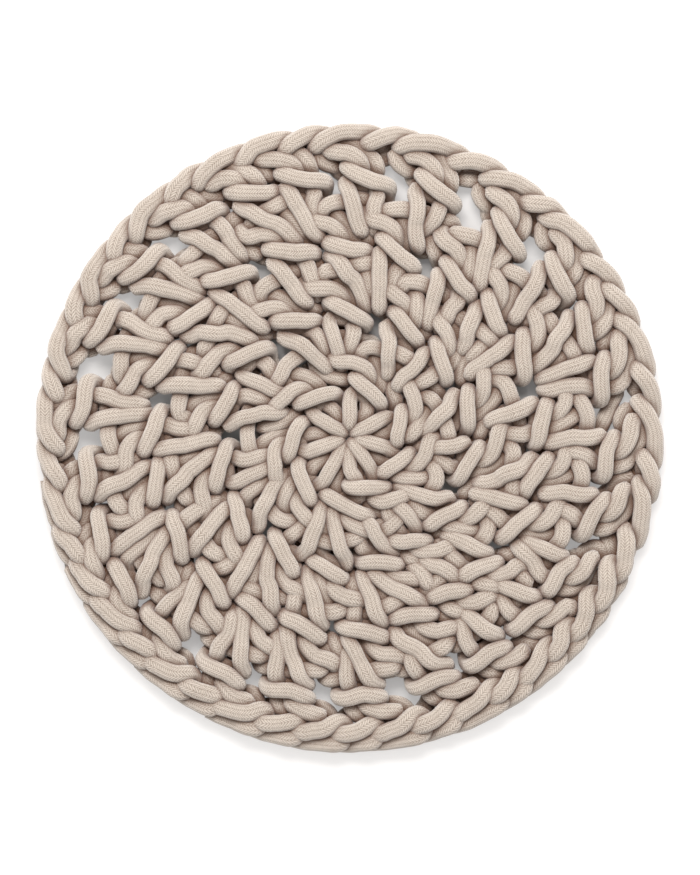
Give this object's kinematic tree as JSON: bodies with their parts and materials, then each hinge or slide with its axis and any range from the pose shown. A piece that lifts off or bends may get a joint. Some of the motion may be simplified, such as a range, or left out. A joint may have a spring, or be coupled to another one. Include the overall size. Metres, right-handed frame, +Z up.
{
  "type": "crocheted trivet",
  "caption": "Round crocheted trivet in braided cotton cord, worked in rounds of tall open stitches with a chained rim.",
  "frame": {"origin": "middle of the mat's flat underside, on the surface that it rests on", "axes": "+Z up through the mat's thickness, from its underside to its face; X and Y across it, with +Y away from a viewer who looks down at it as the picture does"},
  "size_m": [0.2048, 0.205, 0.0129],
  "materials": {
    "cotton_cord": "matt braided cotton cord, undyed beige"
  },
  "bodies": {
    "root": {"crochet_mat": "cotton_cord"}
  },
  "joints": []
}
